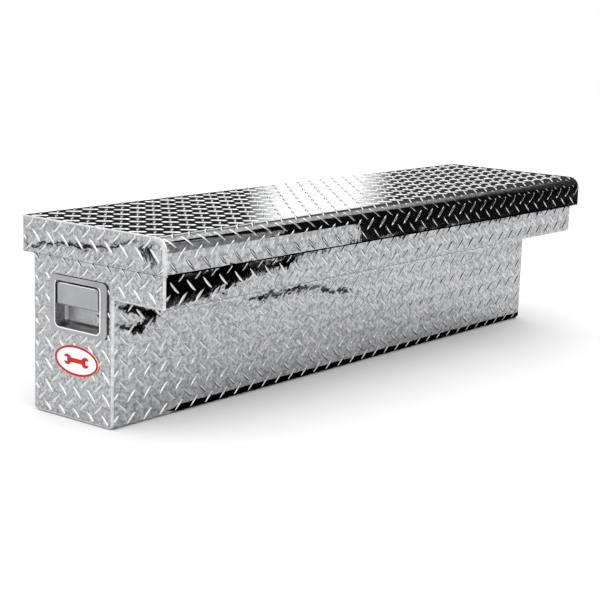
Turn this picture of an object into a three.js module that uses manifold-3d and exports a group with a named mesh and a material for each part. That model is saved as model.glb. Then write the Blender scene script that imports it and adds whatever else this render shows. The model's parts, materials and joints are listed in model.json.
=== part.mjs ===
// Side-mount truck tool box: a tread-plate tub with a wing that rests on the bed rail, a pan lid on a
// continuous hinge, a recessed paddle latch in the left end and a gas strut near each end.
// Millimetres. X runs along the box, -Y is the wing side, +Z is up. The origin is on the ground under
// the middle of the lid.
import * as THREE from "three";
import { mergeVertices } from "three/addons/utils/BufferGeometryUtils.js";
import Module from "manifold-3d";

const wasm = await Module();
wasm.setup();

// ---- Driving dimensions -------------------------------------------------------------------------
const LID_LENGTH = 1219.2;
const LID_DEPTH = 313.4;
const TOTAL_HEIGHT = 313.4;
const LID_FLANGE = 58;
const NOSE_RADIUS = 23;
const BODY_LENGTH = 1200;
const FRONT_OVERHANG = 13;
const BACK_OVERHANG = 16.4;
const TUB_DEPTH = 177.6;
const WING_FACE = 53.2;
const SHEET = 1.6;
const GAP = 0.3;
const RIM_WIDTH = 22;
const SEAL_HEIGHT = 7.2;
const BEND = 4;
const BASE_BEND = 9;

// ---- Places worked out from them ----------------------------------------------------------------
const LID_FRONT = -LID_DEPTH / 2;
const LID_BACK = LID_DEPTH / 2;
const LID_BOTTOM = TOTAL_HEIGHT - LID_FLANGE;
const LID_INSIDE = TOTAL_HEIGHT - SHEET;
const BODY_FRONT = LID_FRONT + FRONT_OVERHANG;
const BODY_BACK = LID_BACK - BACK_OVERHANG;
const TUB_FRONT = BODY_BACK - TUB_DEPTH;
const WING_BOTTOM = LID_BOTTOM - WING_FACE;
const RIM_TOP = LID_INSIDE - SEAL_HEIGHT - 2 * GAP;
const END_X = BODY_LENGTH / 2;

// Hinge: the body leaf lies on the back wall, and its barrel touches the same plane.
const BARREL_RADIUS = 4.5;
const LEAF = 1.5;
const HINGE_Y = BODY_BACK + GAP + BARREL_RADIUS;
const HINGE_Z = LID_BOTTOM - 3.4;
const HINGE_LENGTH = 1178;
const KNUCKLES = 31;

// Latch: its middle on the left end, and the paddle's pivot measured from there.
const LATCH_Y = 36;
const LATCH_Z = 183;
const PAN_DEPTH = 21;
const PIVOT = { x: 1.9, z: 27 };
const PADDLE_ROLL = 5.2;
const PADDLE_SHEET = 1.5;
const PIN_RADIUS = 2;
const PIN_HOLE = 2.4;
const BOLT_Z = PIVOT.z - 18;
const HOOK_X = PIVOT.x + 7;
const LOCK = { y: -24, z: -19.6 };

// Gas struts: both pivots are the same distance from the hinge, so the strut turns half as far as the lid.
const STRUT_X = 520;
const LOWER_PIVOT = { y: HINGE_Y - 55, z: HINGE_Z - 190 };
const UPPER_PIVOT = { y: HINGE_Y - 195.6, z: HINGE_Z + 29.4 };
const STRUT_LENGTH = Math.hypot(
  UPPER_PIVOT.y - LOWER_PIVOT.y,
  UPPER_PIVOT.z - LOWER_PIVOT.z,
);
const STRUT_STROKE = 127.4;
const CYLINDER_FROM = 20;
const CYLINDER_TO = CYLINDER_FROM + 162;
const GLAND = CYLINDER_TO - 9;
const PISTON_LENGTH = 7;
const PISTON_CLEARANCE = 1.5;

// Badge: an oval plate under the latch.
const BADGE = { y: 40, z: 97, width: 96, height: 48 };

// ---- Materials ----------------------------------------------------------------------------------
function metal(colour, roughness) {
  return new THREE.MeshStandardMaterial({ color: colour, roughness, metalness: 1 });
}

function coated(colour, roughness) {
  return new THREE.MeshStandardMaterial({ color: colour, roughness, metalness: 0 });
}

const TREAD_PLATE = () => metal(0xc9ccd0, 0.24);
const PLAIN_ALUMINIUM = () => metal(0xb4b7bb, 0.42);
const STAINLESS = () => metal(0xa9adb2, 0.28);
const ZINC_STEEL = () => metal(0x9ba0a4, 0.38);
const CHROME_ROD = () => metal(0xd8dbdf, 0.08);
const BLACK_ENAMEL = () => coated(0x141516, 0.35);
const RUBBER = () => coated(0x1a1a1b, 0.85);
const WHITE_ENAMEL = () => coated(0xf4f4f2, 0.3);
const RED_ENAMEL = () => coated(0xb81d22, 0.32);
const BRASS = () => metal(0xb79a55, 0.3);

// ---- Geometry helpers ---------------------------------------------------------------------------
const ALONG_X = new THREE.Matrix4().makeBasis(
  new THREE.Vector3(0, 1, 0),
  new THREE.Vector3(0, 0, 1),
  new THREE.Vector3(1, 0, 0),
);
const ALONG_Y = new THREE.Matrix4().makeBasis(
  new THREE.Vector3(1, 0, 0),
  new THREE.Vector3(0, 0, 1),
  new THREE.Vector3(0, -1, 0),
);

function extrude(shape, depth) {
  return new THREE.ExtrudeGeometry(shape, { depth, bevelEnabled: false, curveSegments: 8 });
}

// A shape drawn in (y, z), from x = from to x = to.
function extrudeX(shape, from, to) {
  return extrude(shape, to - from).applyMatrix4(ALONG_X).translate(from, 0, 0);
}

// A shape drawn in (x, z), from y = from to y = to.
function extrudeY(shape, from, to) {
  return extrude(shape, to - from).applyMatrix4(ALONG_Y).translate(0, to, 0);
}

function extrudeZ(shape, from, to) {
  return extrude(shape, to - from).translate(0, 0, from);
}

function block(low, high) {
  const size = high.map((value, i) => value - low[i]);
  const middle = high.map((value, i) => (value + low[i]) / 2);
  return new THREE.BoxGeometry(...size).translate(...middle);
}

// A cylinder whose axis is X, from one x to another.
function barX(radius, from, to, y = 0, z = 0, sides = 20) {
  return new THREE.CylinderGeometry(radius, radius, to - from, sides)
    .rotateZ(Math.PI / 2)
    .translate((from + to) / 2, y, z);
}

function barY(radius, from, to, x = 0, z = 0, sides = 20) {
  return new THREE.CylinderGeometry(radius, radius, to - from, sides).translate(x, (from + to) / 2, z);
}

// A profile of [radius, height] points revolved about Z. It starts and ends on the axis or closes on itself.
function turnedZ(profile, sides = 24) {
  const points = profile.map(([radius, height]) => new THREE.Vector2(radius, height));
  return new THREE.LatheGeometry(points, sides).rotateX(Math.PI / 2);
}

// The same profile revolved about X, heights measured along +X.
function turnedX(profile, sides = 24) {
  return turnedZ(profile, sides).rotateY(Math.PI / 2);
}

function solid(geometry) {
  const bare = geometry.clone();
  bare.deleteAttribute("normal");
  bare.deleteAttribute("uv");
  const merged = mergeVertices(bare, 1e-4);
  const made = new wasm.Manifold(
    new wasm.Mesh({
      numProp: 3,
      vertProperties: new Float32Array(merged.attributes.position.array),
      triVerts: new Uint32Array(merged.index.array),
    }),
  );
  return made;
}

function geometryOf(manifold) {
  const mesh = manifold.getMesh();
  const geometry = new THREE.BufferGeometry();
  geometry.setAttribute("position", new THREE.BufferAttribute(new Float32Array(mesh.vertProperties), 3));
  geometry.setIndex(new THREE.BufferAttribute(new Uint32Array(mesh.triVerts), 1));
  geometry.computeVertexNormals();
  return geometry;
}

function joined(...geometries) {
  return geometries.map(solid).reduce((sum, next) => sum.add(next));
}

function cutFrom(manifold, ...geometries) {
  return geometries.map(solid).reduce((rest, next) => rest.subtract(next), manifold);
}

// The samples of a path with rounded corners, each a point and the unit normal on its left.
function roundedPath(corners, arcSteps) {
  const samples = [];
  const unit = (a, b) => {
    const length = Math.hypot(b[0] - a[0], b[1] - a[1]);
    return [(b[0] - a[0]) / length, (b[1] - a[1]) / length];
  };
  const left = (d) => [-d[1], d[0]];
  corners.forEach((corner, i) => {
    const before = corners[i - 1];
    const after = corners[i + 1];
    if (!before || !after) {
      const d = before ? unit(before.at, corner.at) : unit(corner.at, after.at);
      samples.push({ at: corner.at, normal: left(d) });
      return;
    }
    const din = unit(before.at, corner.at);
    const dout = unit(corner.at, after.at);
    const turn = Math.atan2(din[0] * dout[1] - din[1] * dout[0], din[0] * dout[0] + din[1] * dout[1]);
    const side = Math.sign(turn);
    const reach = corner.radius * Math.tan(Math.abs(turn) / 2);
    const start = [corner.at[0] - din[0] * reach, corner.at[1] - din[1] * reach];
    const inward = left(din).map((value) => value * side);
    const centre = [start[0] + inward[0] * corner.radius, start[1] + inward[1] * corner.radius];
    for (let step = 0; step <= arcSteps; step++) {
      const angle = (turn * step) / arcSteps;
      const c = Math.cos(angle);
      const s = Math.sin(angle);
      const out = [-(inward[0] * c - inward[1] * s), -(inward[0] * s + inward[1] * c)];
      const at = [centre[0] + out[0] * corner.radius, centre[1] + out[1] * corner.radius];
      samples.push({ at, normal: out.map((value) => -value * side) });
    }
  });
  return samples;
}

// The outline of a bent sheet: one face follows the corners, and the other lies thickness to its left
// (to its right if thickness is negative).
function bentSheet(corners, thickness, arcSteps = 5) {
  const samples = roundedPath(corners, arcSteps);
  const face = samples.map(({ at }) => at);
  const other = samples.map(({ at, normal }) => [
    at[0] + normal[0] * thickness,
    at[1] + normal[1] * thickness,
  ]);
  return outline([...face, ...other.reverse()]);
}

function outline(points) {
  return new THREE.Shape(points.map(([a, b]) => new THREE.Vector2(a, b)));
}

function corner(a, b, radius = 0) {
  return { at: [a, b], radius };
}

function roundedRectangle(width, height, radius, centre = [0, 0], arcSteps = 6) {
  const points = [];
  for (const [sa, sb, start] of [[1, 1, 0], [-1, 1, 1], [-1, -1, 2], [1, -1, 3]]) {
    for (let step = 0; step <= arcSteps; step++) {
      const angle = ((start + step / arcSteps) * Math.PI) / 2;
      points.push([
        centre[0] + sa * (width / 2 - radius) + radius * Math.cos(angle),
        centre[1] + sb * (height / 2 - radius) + radius * Math.sin(angle),
      ]);
    }
  }
  return points;
}

function ellipse(width, height, steps = 40) {
  return Array.from({ length: steps }, (_, i) => {
    const angle = (2 * Math.PI * i) / steps;
    return [(width / 2) * Math.cos(angle), (height / 2) * Math.sin(angle)];
  });
}

function withHole(shape, points) {
  shape.holes.push(new THREE.Path(points.map(([a, b]) => new THREE.Vector2(a, b))));
  return shape;
}

// A closed skin through rings of equal length, each ring {x, points in (y, z)}, in order of rising x.
function loftX(rings) {
  const count = rings[0].points.length;
  const positions = rings.flatMap(({ x, points }) => points.flatMap(([y, z]) => [x, y, z]));
  const indices = [];
  for (let ring = 0; ring + 1 < rings.length; ring++) {
    for (let i = 0; i < count; i++) {
      const j = (i + 1) % count;
      const a = ring * count + i;
      const b = ring * count + j;
      indices.push(a, b, a + count, b, b + count, a + count);
    }
  }
  const last = (rings.length - 1) * count;
  for (let i = 1; i + 1 < count; i++) {
    indices.push(0, i + 1, i);
    indices.push(last, last + i, last + i + 1);
  }
  const geometry = new THREE.BufferGeometry();
  geometry.setAttribute("position", new THREE.Float32BufferAttribute(positions, 3));
  geometry.setIndex(indices);
  return geometry;
}

function node(name, geometry, material) {
  const mesh = new THREE.Mesh(geometry, material);
  mesh.name = name;
  return mesh;
}

// ---- Body ---------------------------------------------------------------------------------------
const BODY_CORNERS = [
  corner(BODY_FRONT, RIM_TOP, BEND),
  corner(BODY_FRONT, WING_BOTTOM, BEND),
  corner(TUB_FRONT, WING_BOTTOM, BEND),
  corner(TUB_FRONT, 0, BASE_BEND),
  corner(BODY_BACK, 0, BASE_BEND),
  corner(BODY_BACK, RIM_TOP, BEND),
];

function bodyWrap() {
  const path = [
    corner(BODY_FRONT + RIM_WIDTH, RIM_TOP),
    ...BODY_CORNERS,
    corner(BODY_BACK - RIM_WIDTH, RIM_TOP),
  ];
  const half = END_X - SHEET - GAP;
  return extrudeX(bentSheet(path, SHEET), -half, half);
}

function endOutline() {
  const square = { radius: 0.5 };
  const path = [
    corner(BODY_FRONT + RIM_WIDTH, RIM_TOP),
    { ...BODY_CORNERS[0], ...square },
    ...BODY_CORNERS.slice(1, 5),
    { ...BODY_CORNERS[5], ...square },
    corner(BODY_BACK - RIM_WIDTH, RIM_TOP),
  ];
  return outline(roundedPath(path, 5).map(({ at }) => at));
}

// The plate is built at the +X end, and turned flange and all for the other end by mirroring x.
function endPanel(side, cut) {
  const outer = END_X;
  const inner = END_X - SHEET;
  const flangeFront = BODY_FRONT + RIM_WIDTH + GAP;
  const flangeBack = BODY_BACK - RIM_WIDTH - GAP;
  const place = (x) => side * x;
  const span = (a, b) => [Math.min(place(a), place(b)), Math.max(place(a), place(b))];
  const plate = extrudeX(endOutline(), ...span(inner, outer));
  const [low, high] = span(inner - 1, outer + 1);
  const room = block([low, flangeFront, RIM_TOP - BEND], [high, flangeBack, RIM_TOP + 1]);
  const path = [
    corner(place(outer), RIM_TOP - BEND - 6),
    corner(place(outer), RIM_TOP, BEND),
    corner(place(outer - RIM_WIDTH), RIM_TOP),
  ];
  const flange = extrudeY(bentSheet(path, side * SHEET), flangeFront, flangeBack);
  let panel = cutFrom(solid(plate), room).add(solid(flange));
  if (cut) panel = cutFrom(panel, cut);
  return geometryOf(panel);
}

function weatherstrip() {
  const inset = 8;
  const width = 12;
  const length = BODY_LENGTH - 2 * inset;
  const depth = BODY_BACK - BODY_FRONT - 2 * inset;
  const centre = [0, (BODY_BACK + BODY_FRONT) / 2];
  const ring = withHole(
    outline(roundedRectangle(length, depth, 14, centre, 4)),
    roundedRectangle(length - 2 * width, depth - 2 * width, 3, centre, 4).reverse(),
  );
  return extrudeZ(ring, RIM_TOP + GAP, RIM_TOP + GAP + SEAL_HEIGHT);
}

// ---- Lid ----------------------------------------------------------------------------------------
function lidSkin() {
  const hemHeight = 11;
  const hemDepth = 2 * SHEET + 0.8;
  const hemRadius = hemDepth / 2;
  const path = [
    corner(LID_FRONT + hemDepth, LID_BOTTOM + hemHeight),
    corner(LID_FRONT + hemDepth, LID_BOTTOM, hemRadius),
    corner(LID_FRONT, LID_BOTTOM, hemRadius),
    corner(LID_FRONT, TOTAL_HEIGHT, NOSE_RADIUS),
    corner(LID_BACK, TOTAL_HEIGHT, BEND),
    corner(LID_BACK, LID_BOTTOM),
  ];
  const half = LID_LENGTH / 2 - SHEET - GAP;
  return extrudeX(bentSheet(path, -SHEET, 8), -half, half);
}

function lidEnd(side) {
  const path = [
    corner(LID_FRONT, LID_BOTTOM),
    corner(LID_FRONT, TOTAL_HEIGHT, NOSE_RADIUS),
    corner(LID_BACK, TOTAL_HEIGHT, BEND),
    corner(LID_BACK, LID_BOTTOM),
  ];
  const shape = outline(roundedPath(path, 8).map(({ at }) => at).reverse());
  const outer = LID_LENGTH / 2;
  const from = side > 0 ? outer - SHEET : -outer;
  return extrudeX(shape, from, from + SHEET);
}

// A hat section under the lid, flanges up against the skin.
function lidChannel() {
  const middle = 10;
  const halfCrown = 22;
  const halfFoot = 36;
  const deep = 16;
  const top = LID_INSIDE - GAP;
  const path = [
    corner(middle - halfFoot, top),
    corner(middle - halfCrown - 3, top, 3),
    corner(middle - halfCrown, top - deep, 3),
    corner(middle + halfCrown, top - deep, 3),
    corner(middle + halfCrown + 3, top, 3),
    corner(middle + halfFoot, top),
  ];
  return extrudeX(bentSheet(path, -LEAF, 3), -495, 495);
}

// ---- Hinge --------------------------------------------------------------------------------------
function knuckleRing(from, to) {
  const sides = 14;
  const ring = solid(barX(BARREL_RADIUS, from, to, HINGE_Y, HINGE_Z, sides));
  return cutFrom(ring, barX(2.35, from - 1, to + 1, HINGE_Y, HINGE_Z, sides));
}

// One leaf: a plate clear of the barrel, with a tab and a ring for each of its own knuckles.
function hingeLeaf(plateShape, tab, parity) {
  const pitch = HINGE_LENGTH / KNUCKLES;
  const start = -HINGE_LENGTH / 2;
  let leaf = solid(extrudeX(plateShape, start, -start));
  for (let i = parity; i < KNUCKLES; i += 2) {
    const from = start + i * pitch + 0.3;
    const to = from + pitch - 0.6;
    const web = cutFrom(
      solid(block([from, tab.y, tab.low], [to, tab.y + LEAF, tab.high])),
      barX(2.35, from - 1, to + 1, HINGE_Y, HINGE_Z, 14),
    );
    leaf = leaf.add(web).add(knuckleRing(from, to));
  }
  return geometryOf(leaf);
}

function hingeBodyLeaf() {
  const y = BODY_BACK + GAP;
  const top = HINGE_Z - BARREL_RADIUS - 1;
  const plate = outline([
    [y, top - 28],
    [y + LEAF, top - 28],
    [y + LEAF, top],
    [y, top],
  ]);
  return hingeLeaf(plate, { y, low: top - 0.5, high: HINGE_Z }, 0);
}

// The lid leaf is joggled from the barrel's outer side to the inside of the lid's back flange.
function hingeLidLeaf() {
  const near = HINGE_Y + BARREL_RADIUS - LEAF;
  const far = LID_BACK - SHEET - GAP - LEAF;
  const low = HINGE_Z + BARREL_RADIUS + 1;
  const plate = bentSheet(
    [
      corner(near, low),
      corner(near, low + 4, 2),
      corner(far, low + 10, 2),
      corner(far, low + 30),
    ],
    -LEAF,
    2,
  );
  return hingeLeaf(plate, { y: near, low: HINGE_Z, high: low + 0.5 }, 1);
}

// ---- Latch, in its own frame: the middle of the panel's outer face, +X into the box ---------------
const FLANGE_FACE = -(2 * GAP + 1 + 2);
const PAN = { width: 98, height: 73, radius: 8, floorWidth: 92, floorHeight: 66, wall: 1.5 };
const PAN_FLOOR = FLANGE_FACE + PAN_DEPTH;
const LATCH_FLANGE = { width: 126, height: 88, radius: 10 };

function latchOpening() {
  const shape = outline(roundedRectangle(PAN.width + 4, PAN.height + 4, PAN.radius + 2, [LATCH_Y, LATCH_Z]));
  return extrudeX(shape, -END_X - 5, -END_X + 5);
}

function latchGasket() {
  const shape = withHole(
    outline(roundedRectangle(LATCH_FLANGE.width - 2, LATCH_FLANGE.height - 2, LATCH_FLANGE.radius - 1)),
    roundedRectangle(PAN.width + 5, PAN.height + 5, PAN.radius + 2).reverse(),
  );
  return extrudeX(shape, -GAP - 1, -GAP);
}

function panRings(grow, from, to) {
  return [
    { x: from, points: roundedRectangle(PAN.width + grow, PAN.height + grow, PAN.radius) },
    { x: to - 5, points: roundedRectangle(PAN.floorWidth + grow, PAN.floorHeight + grow, PAN.radius) },
    { x: to, points: roundedRectangle(PAN.floorWidth - 6 + grow, PAN.floorHeight - 6 + grow, PAN.radius - 3) },
  ];
}

function latchDish() {
  const face = outline(roundedRectangle(LATCH_FLANGE.width, LATCH_FLANGE.height, LATCH_FLANGE.radius));
  const plate = extrudeX(face, FLANGE_FACE, FLANGE_FACE + 2);
  const bead = (grow, x) => ({
    x,
    points: roundedRectangle(PAN.width + grow, PAN.height + grow, PAN.radius + grow / 2),
  });
  const raised = loftX([
    bead(2.6, FLANGE_FACE - 1.2),
    bead(4.6, FLANGE_FACE - 0.6),
    bead(5.2, FLANGE_FACE + 0.5),
  ]);
  const shell = loftX(panRings(2 * PAN.wall, FLANGE_FACE + 0.5, PAN_FLOOR + PAN.wall));
  const hollow = loftX(panRings(0, FLANGE_FACE - 3, PAN_FLOOR));
  const boltWindow = block([PAN_FLOOR - 3, -9, BOLT_Z - 5.8], [PAN_FLOOR + 4, 9, BOLT_Z + 5.8]);
  const lockHole = barX(6.4, PAN_FLOOR - 3, PAN_FLOOR + 4, LOCK.y, LOCK.z);
  const pinHoles = barY(PIN_HOLE, -60, 60, PIVOT.x, PIVOT.z);
  return geometryOf(cutFrom(joined(plate, raised, shell), hollow, boltWindow, lockHole, pinHoles));
}

// The paddle plate is rolled round its pin at the top and turned in for the fingers at the bottom.
function latchPaddle() {
  const half = 45;
  const faceX = PIVOT.x - PADDLE_ROLL;
  const top = PIVOT.z + 6;
  const lower = -4;
  const lip = bentSheet(
    [
      corner(faceX, lower + 12),
      corner(faceX, lower, 4),
      corner(faceX + 9, lower + 3),
    ],
    PADDLE_SHEET,
    4,
  );
  const middle = [0, (top + lower + 6) / 2];
  const plate = outline(roundedRectangle(2 * half, top - lower - 6, 5, middle, 4));
  const cheek = outline([
    [faceX + 0.5, PIVOT.z],
    [faceX + 0.5, lower + 4],
    [faceX + 6, lower + 6],
    [PIVOT.x + PADDLE_ROLL - 0.6, PIVOT.z],
  ]);
  const cheekWidth = 1.6;
  const made = joined(
    extrudeX(plate, faceX, faceX + PADDLE_SHEET),
    extrudeY(lip, -half, half),
    barY(PADDLE_ROLL, -half, half, PIVOT.x, PIVOT.z, 24),
    extrudeY(cheek, -half, -half + cheekWidth),
    extrudeY(cheek, half - cheekWidth, half),
  );
  const springWindow = block([faceX + PADDLE_SHEET, -30, PIVOT.z - 8], [PIVOT.x + 9, -14, PIVOT.z + 8]);
  return geometryOf(cutFrom(made, barY(PIN_HOLE, -60, 60, PIVOT.x, PIVOT.z), springWindow));
}

function paddlePin() {
  return barY(PIN_RADIUS, -48.2, 48.2, PIVOT.x, PIVOT.z, 20);
}

// Two ears and a cross pin behind the paddle, which draw the bolt.
function paddleHook() {
  const back = PIVOT.x - PADDLE_ROLL + PADDLE_SHEET + GAP;
  const ear = outline([
    [back, BOLT_Z - 5],
    [HOOK_X + 1, BOLT_Z - 3.4],
    [HOOK_X + 3.4, BOLT_Z],
    [HOOK_X + 1, BOLT_Z + 3.4],
    [back, BOLT_Z + 5],
  ]);
  const base = block([back, -16, BOLT_Z - 5], [back + 1.5, 16, BOLT_Z + 5]);
  return geometryOf(
    joined(
      base,
      extrudeY(ear, -11.5, -9),
      extrudeY(ear, 9, 11.5),
      barY(1.5, -10, 10, HOOK_X, BOLT_Z, 12),
    ),
  );
}

class TorsionCurve extends THREE.Curve {
  getPoint(t, target = new THREE.Vector3()) {
    const turns = 6.25;
    const radius = 2.8;
    const angle = 2 * Math.PI * turns * t;
    return target.set(
      PIVOT.x + radius * Math.cos(angle),
      -28 + 12 * t,
      PIVOT.z + radius * Math.sin(angle),
    );
  }
}

function wireAlong(curve, wireRadius, steps, sides = 6) {
  const section = outline(
    Array.from({ length: sides }, (_, i) => {
      const angle = (2 * Math.PI * i) / sides;
      return [wireRadius * Math.cos(angle), wireRadius * Math.sin(angle)];
    }),
  );
  return new THREE.ExtrudeGeometry(section, { steps, extrudePath: curve, bevelEnabled: false });
}

function paddleSpring() {
  return wireAlong(new TorsionCurve(), 0.5, 80);
}

function latchBolt() {
  const low = BOLT_Z - 5;
  const high = BOLT_Z + 5;
  const shape = withHole(
    outline([
      [HOOK_X - 5, low],
      [63, low],
      [63, low + 2.5],
      [56.6, high],
      [HOOK_X - 5, high],
    ]),
    roundedRectangle(4, 8, 1.9, [HOOK_X, BOLT_Z], 4).reverse(),
  );
  return extrudeY(shape, -8, 8);
}

// The case behind the pan guides the bolt and is open towards the pan.
function latchCase() {
  const from = PAN_FLOOR + PAN.wall + GAP;
  const to = 50;
  const ring = (grow, x) => ({
    x,
    points: roundedRectangle(58 + grow, 42 + grow, 5, [0, BOLT_Z], 3),
  });
  const outer = loftX([ring(0, from), ring(0, to - 2), ring(-4, to)]);
  const inner = loftX([ring(-4, from - 1), ring(-4, to - 2)]);
  const window = block([to - 4, -8.6, BOLT_Z - 5.6], [to + 2, 8.6, BOLT_Z + 5.6]);
  return geometryOf(cutFrom(solid(outer), inner, window));
}

function lockCylinder() {
  const face = 12 - PAN_FLOOR;
  const profile = [
    [5.4, face],
    [7.5, face],
    [7.5, -GAP],
    [6, -GAP],
    [6, 21],
    [5.4, 21],
    [5.4, face],
  ];
  return turnedX(profile, 24);
}

function lockPlug() {
  const face = 12.4 - PAN_FLOOR;
  const profile = [
    [0, face],
    [5, face],
    [5, 21.5],
    [2.5, 21.5],
    [2.5, 26],
    [0, 26],
  ];
  return geometryOf(cutFrom(solid(turnedX(profile, 24)), block([face - 1, -0.8, -3.4], [face + 3, 0.8, 3.4])));
}

function lockCam() {
  const shape = withHole(
    outline([...roundedRectangle(10, 24, 4.5, [0, -6], 4)]),
    ellipse(5.8, 5.8, 16).reverse(),
  );
  return extrudeX(shape, 22, 24.5);
}

// A fork that comes down over the bolt. It has no lip under the bolt, and its slot leaves room behind the
// bolt for the fork's forward swing, so the lid's path is clear.
function strikerPlate() {
  const x = { near: 53 - END_X, far: 56 - END_X };
  const top = LID_INSIDE - GAP;
  const bottom = LATCH_Z + BOLT_Z - 6;
  const halfWidth = 19;
  const plate = block([x.near, LATCH_Y - halfWidth, bottom], [x.far, LATCH_Y + halfWidth, top]);
  const foot = block([x.near, LATCH_Y - halfWidth, top - 2.5], [x.far + 26, LATCH_Y + halfWidth, top]);
  const rib = (y) => block([x.near, y, bottom + 24], [x.far + 7, y + 2.5, top]);
  const slot = block(
    [x.near - 1, LATCH_Y - 9.5, bottom - 1],
    [x.far + 1, LATCH_Y + 14.8, LATCH_Z + BOLT_Z + 7],
  );
  const made = joined(plate, foot, rib(LATCH_Y - halfWidth), rib(LATCH_Y + halfWidth - 2.5));
  return geometryOf(cutFrom(made, slot));
}

// ---- Gas struts, in a frame whose +Z runs from the lower pivot to the upper one -------------------
const SOCKET_RADIUS = 8;
const BALL_RADIUS = 5;

function socketAt(z) {
  const ring = solid(barX(SOCKET_RADIUS, -5, 5, 0, z, 20));
  return cutFrom(ring, barX(BALL_RADIUS + 0.4, -6, 6, 0, z, 20));
}

function strutCylinder() {
  const from = CYLINDER_FROM;
  const to = CYLINDER_TO;
  const tube = [
    [0, 6],
    [4, 6],
    [4, from - 3],
    [9, from],
    [9, to - 2],
    [7.5, to],
    [4.4, to],
    [4.4, GLAND],
    [7.6, GLAND],
    [7.6, from + 6],
    [0, from + 6],
  ];
  const body = cutFrom(solid(turnedZ(tube, 20)), barX(BALL_RADIUS + 0.4, -12, 12, 0, 0, 20));
  return geometryOf(body.add(socketAt(0)));
}

function strutRod() {
  const tip = GLAND - PISTON_LENGTH - PISTON_CLEARANCE - STRUT_STROKE;
  const end = STRUT_LENGTH;
  const profile = [
    [0, tip],
    [7.2, tip],
    [7.2, tip + PISTON_LENGTH],
    [4, tip + PISTON_LENGTH],
    [4, end - 16],
    [6, end - 15],
    [6, end - 6],
    [0, end - 6],
  ];
  const rod = cutFrom(solid(turnedZ(profile, 20)), barX(BALL_RADIUS + 0.4, -12, 12, 0, end, 20));
  return geometryOf(rod.add(socketAt(end)));
}

function ballStud(side, y, z) {
  const ball = new THREE.SphereGeometry(BALL_RADIUS, 16, 10).translate(side * STRUT_X, y, z);
  const shank = side > 0 ? [STRUT_X, STRUT_X + 11] : [-STRUT_X - 11, -STRUT_X];
  return solid(ball).add(solid(barX(3, ...shank, y, z, 14)));
}

function slab(side, from, to) {
  return [Math.min(side * from, side * to), Math.max(side * from, side * to)];
}

function strutBodyBracket(side) {
  const [x0, x1] = slab(side, STRUT_X + 9, STRUT_X + 11.5);
  const [b0, b1] = slab(side, STRUT_X + 9, STRUT_X + 42);
  const wall = BODY_BACK - SHEET - GAP;
  const { y, z } = LOWER_PIVOT;
  const arm = outline([
    ...roundedArm(y, z, 10, Math.PI / 2, 1.5 * Math.PI),
    [wall, z - 24],
    [wall, z + 24],
  ]);
  const base = block([b0, wall - 2.5, z - 26], [b1, wall, z + 26]);
  return geometryOf(joined(extrudeX(arm, x0, x1), base).add(ballStud(side, y, z)));
}

// The rounded end of a bracket's arm, as points on an arc.
function roundedArm(y, z, radius, from, to, steps = 8) {
  return Array.from({ length: steps + 1 }, (_, i) => {
    const angle = from + ((to - from) * i) / steps;
    return [y + radius * Math.cos(angle), z + radius * Math.sin(angle)];
  });
}

function strutLidBracket(side) {
  const [x0, x1] = slab(side, STRUT_X + 9, STRUT_X + 11.5);
  const [b0, b1] = slab(side, STRUT_X + 9, STRUT_X + 40);
  const top = LID_INSIDE - GAP;
  const { y, z } = UPPER_PIVOT;
  const arm = outline([
    ...roundedArm(y, z, 9, Math.PI, 2 * Math.PI),
    [y + 22, top],
    [y - 22, top],
  ]);
  const base = block([b0, y - 24, top - 2.5], [b1, y + 24, top]);
  return geometryOf(joined(extrudeX(arm, x0, x1), base).add(ballStud(side, y, z)));
}

// ---- Badge, in its own frame on the left end's outer face ----------------------------------------
function badgePlate() {
  return extrudeX(outline(ellipse(BADGE.width, BADGE.height)), -GAP - 1.4, -GAP);
}

function badgeRim() {
  const ring = withHole(
    outline(ellipse(BADGE.width, BADGE.height)),
    ellipse(BADGE.width - 7, BADGE.height - 7).reverse(),
  );
  return extrudeX(ring, -2 * GAP - 2.2, -2 * GAP - 1.4);
}

// A plain open-ended spanner, lying along the oval.
function badgeEmblem() {
  const shaft = extrudeX(outline(roundedRectangle(34, 7, 1.5)), -2.7, -2);
  const head = (y) => extrudeX(outline(ellipse(17, 17, 24).map(([a, b]) => [a + y, b])), -2.7, -2);
  const jaw = (y, wide) => extrudeX(outline(roundedRectangle(12, wide, 1, [y, 0])), -3.5, -1);
  return geometryOf(cutFrom(joined(shaft, head(-20), head(20)), jaw(-26, 7), jaw(26, 7)));
}

// ---- Assembly -----------------------------------------------------------------------------------
function bodyGroup() {
  const group = new THREE.Group();
  group.add(
    node("body_wrap", bodyWrap(), TREAD_PLATE()),
    node("end_panel_left", endPanel(-1, latchOpening()), TREAD_PLATE()),
    node("end_panel_right", endPanel(1), TREAD_PLATE()),
    node("weatherstrip", weatherstrip(), RUBBER()),
    node("hinge_body_leaf", hingeBodyLeaf(), STAINLESS()),
    node("hinge_pin", barX(2, -HINGE_LENGTH / 2, HINGE_LENGTH / 2, HINGE_Y, HINGE_Z, 14), STAINLESS()),
  );
  return group;
}

function lidGroup() {
  const group = new THREE.Group();
  group.add(
    node("lid_skin", lidSkin(), TREAD_PLATE()),
    node("lid_end_left", lidEnd(-1), TREAD_PLATE()),
    node("lid_end_right", lidEnd(1), TREAD_PLATE()),
    node("lid_channel", lidChannel(), PLAIN_ALUMINIUM()),
    node("hinge_lid_leaf", hingeLidLeaf(), STAINLESS()),
    node("latch_striker", strikerPlate(), ZINC_STEEL()),
  );
  return group;
}

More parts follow.
